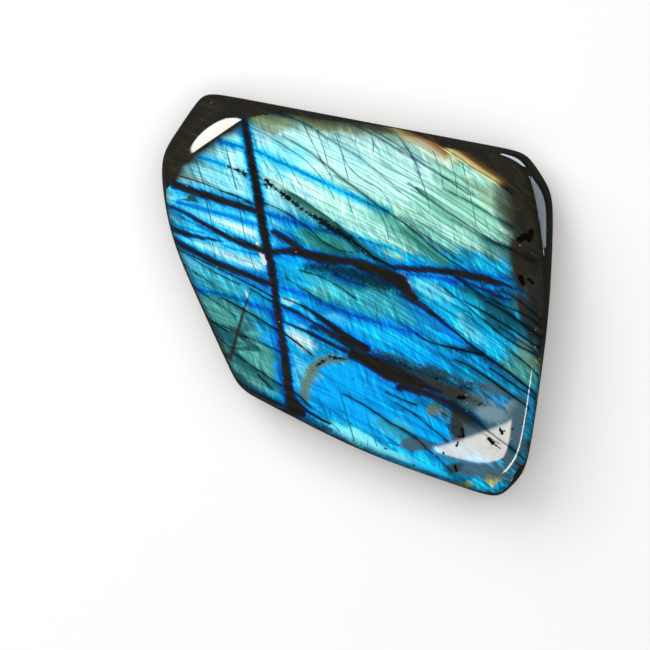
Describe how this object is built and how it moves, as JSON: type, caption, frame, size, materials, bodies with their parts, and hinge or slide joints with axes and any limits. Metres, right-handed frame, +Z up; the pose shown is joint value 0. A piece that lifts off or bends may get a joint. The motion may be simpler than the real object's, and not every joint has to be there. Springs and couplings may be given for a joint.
{
  "type": "polished labradorite freeform",
  "caption": "Hand-sized polished freeform of labradorite: a flat slab with rounded rims, ground bevels, a blue and green flash face and a flat back that it lies on.",
  "frame": {"origin": "middle of the stone's outline, on the plane of the flat that it rests on", "axes": "+Z up out of the flash face, +Y towards the long straight upper edge, +X towards the steep right-hand side"},
  "size_m": [0.0858, 0.088, 0.024],
  "materials": {
    "polished_labradorite": "mirror-polished feldspar, blue, aqua and pale green flash over charcoal-green stone, crossed by dark healed seams"
  },
  "bodies": {
    "root": {"labradorite_stone": "polished_labradorite"}
  },
  "joints": []
}
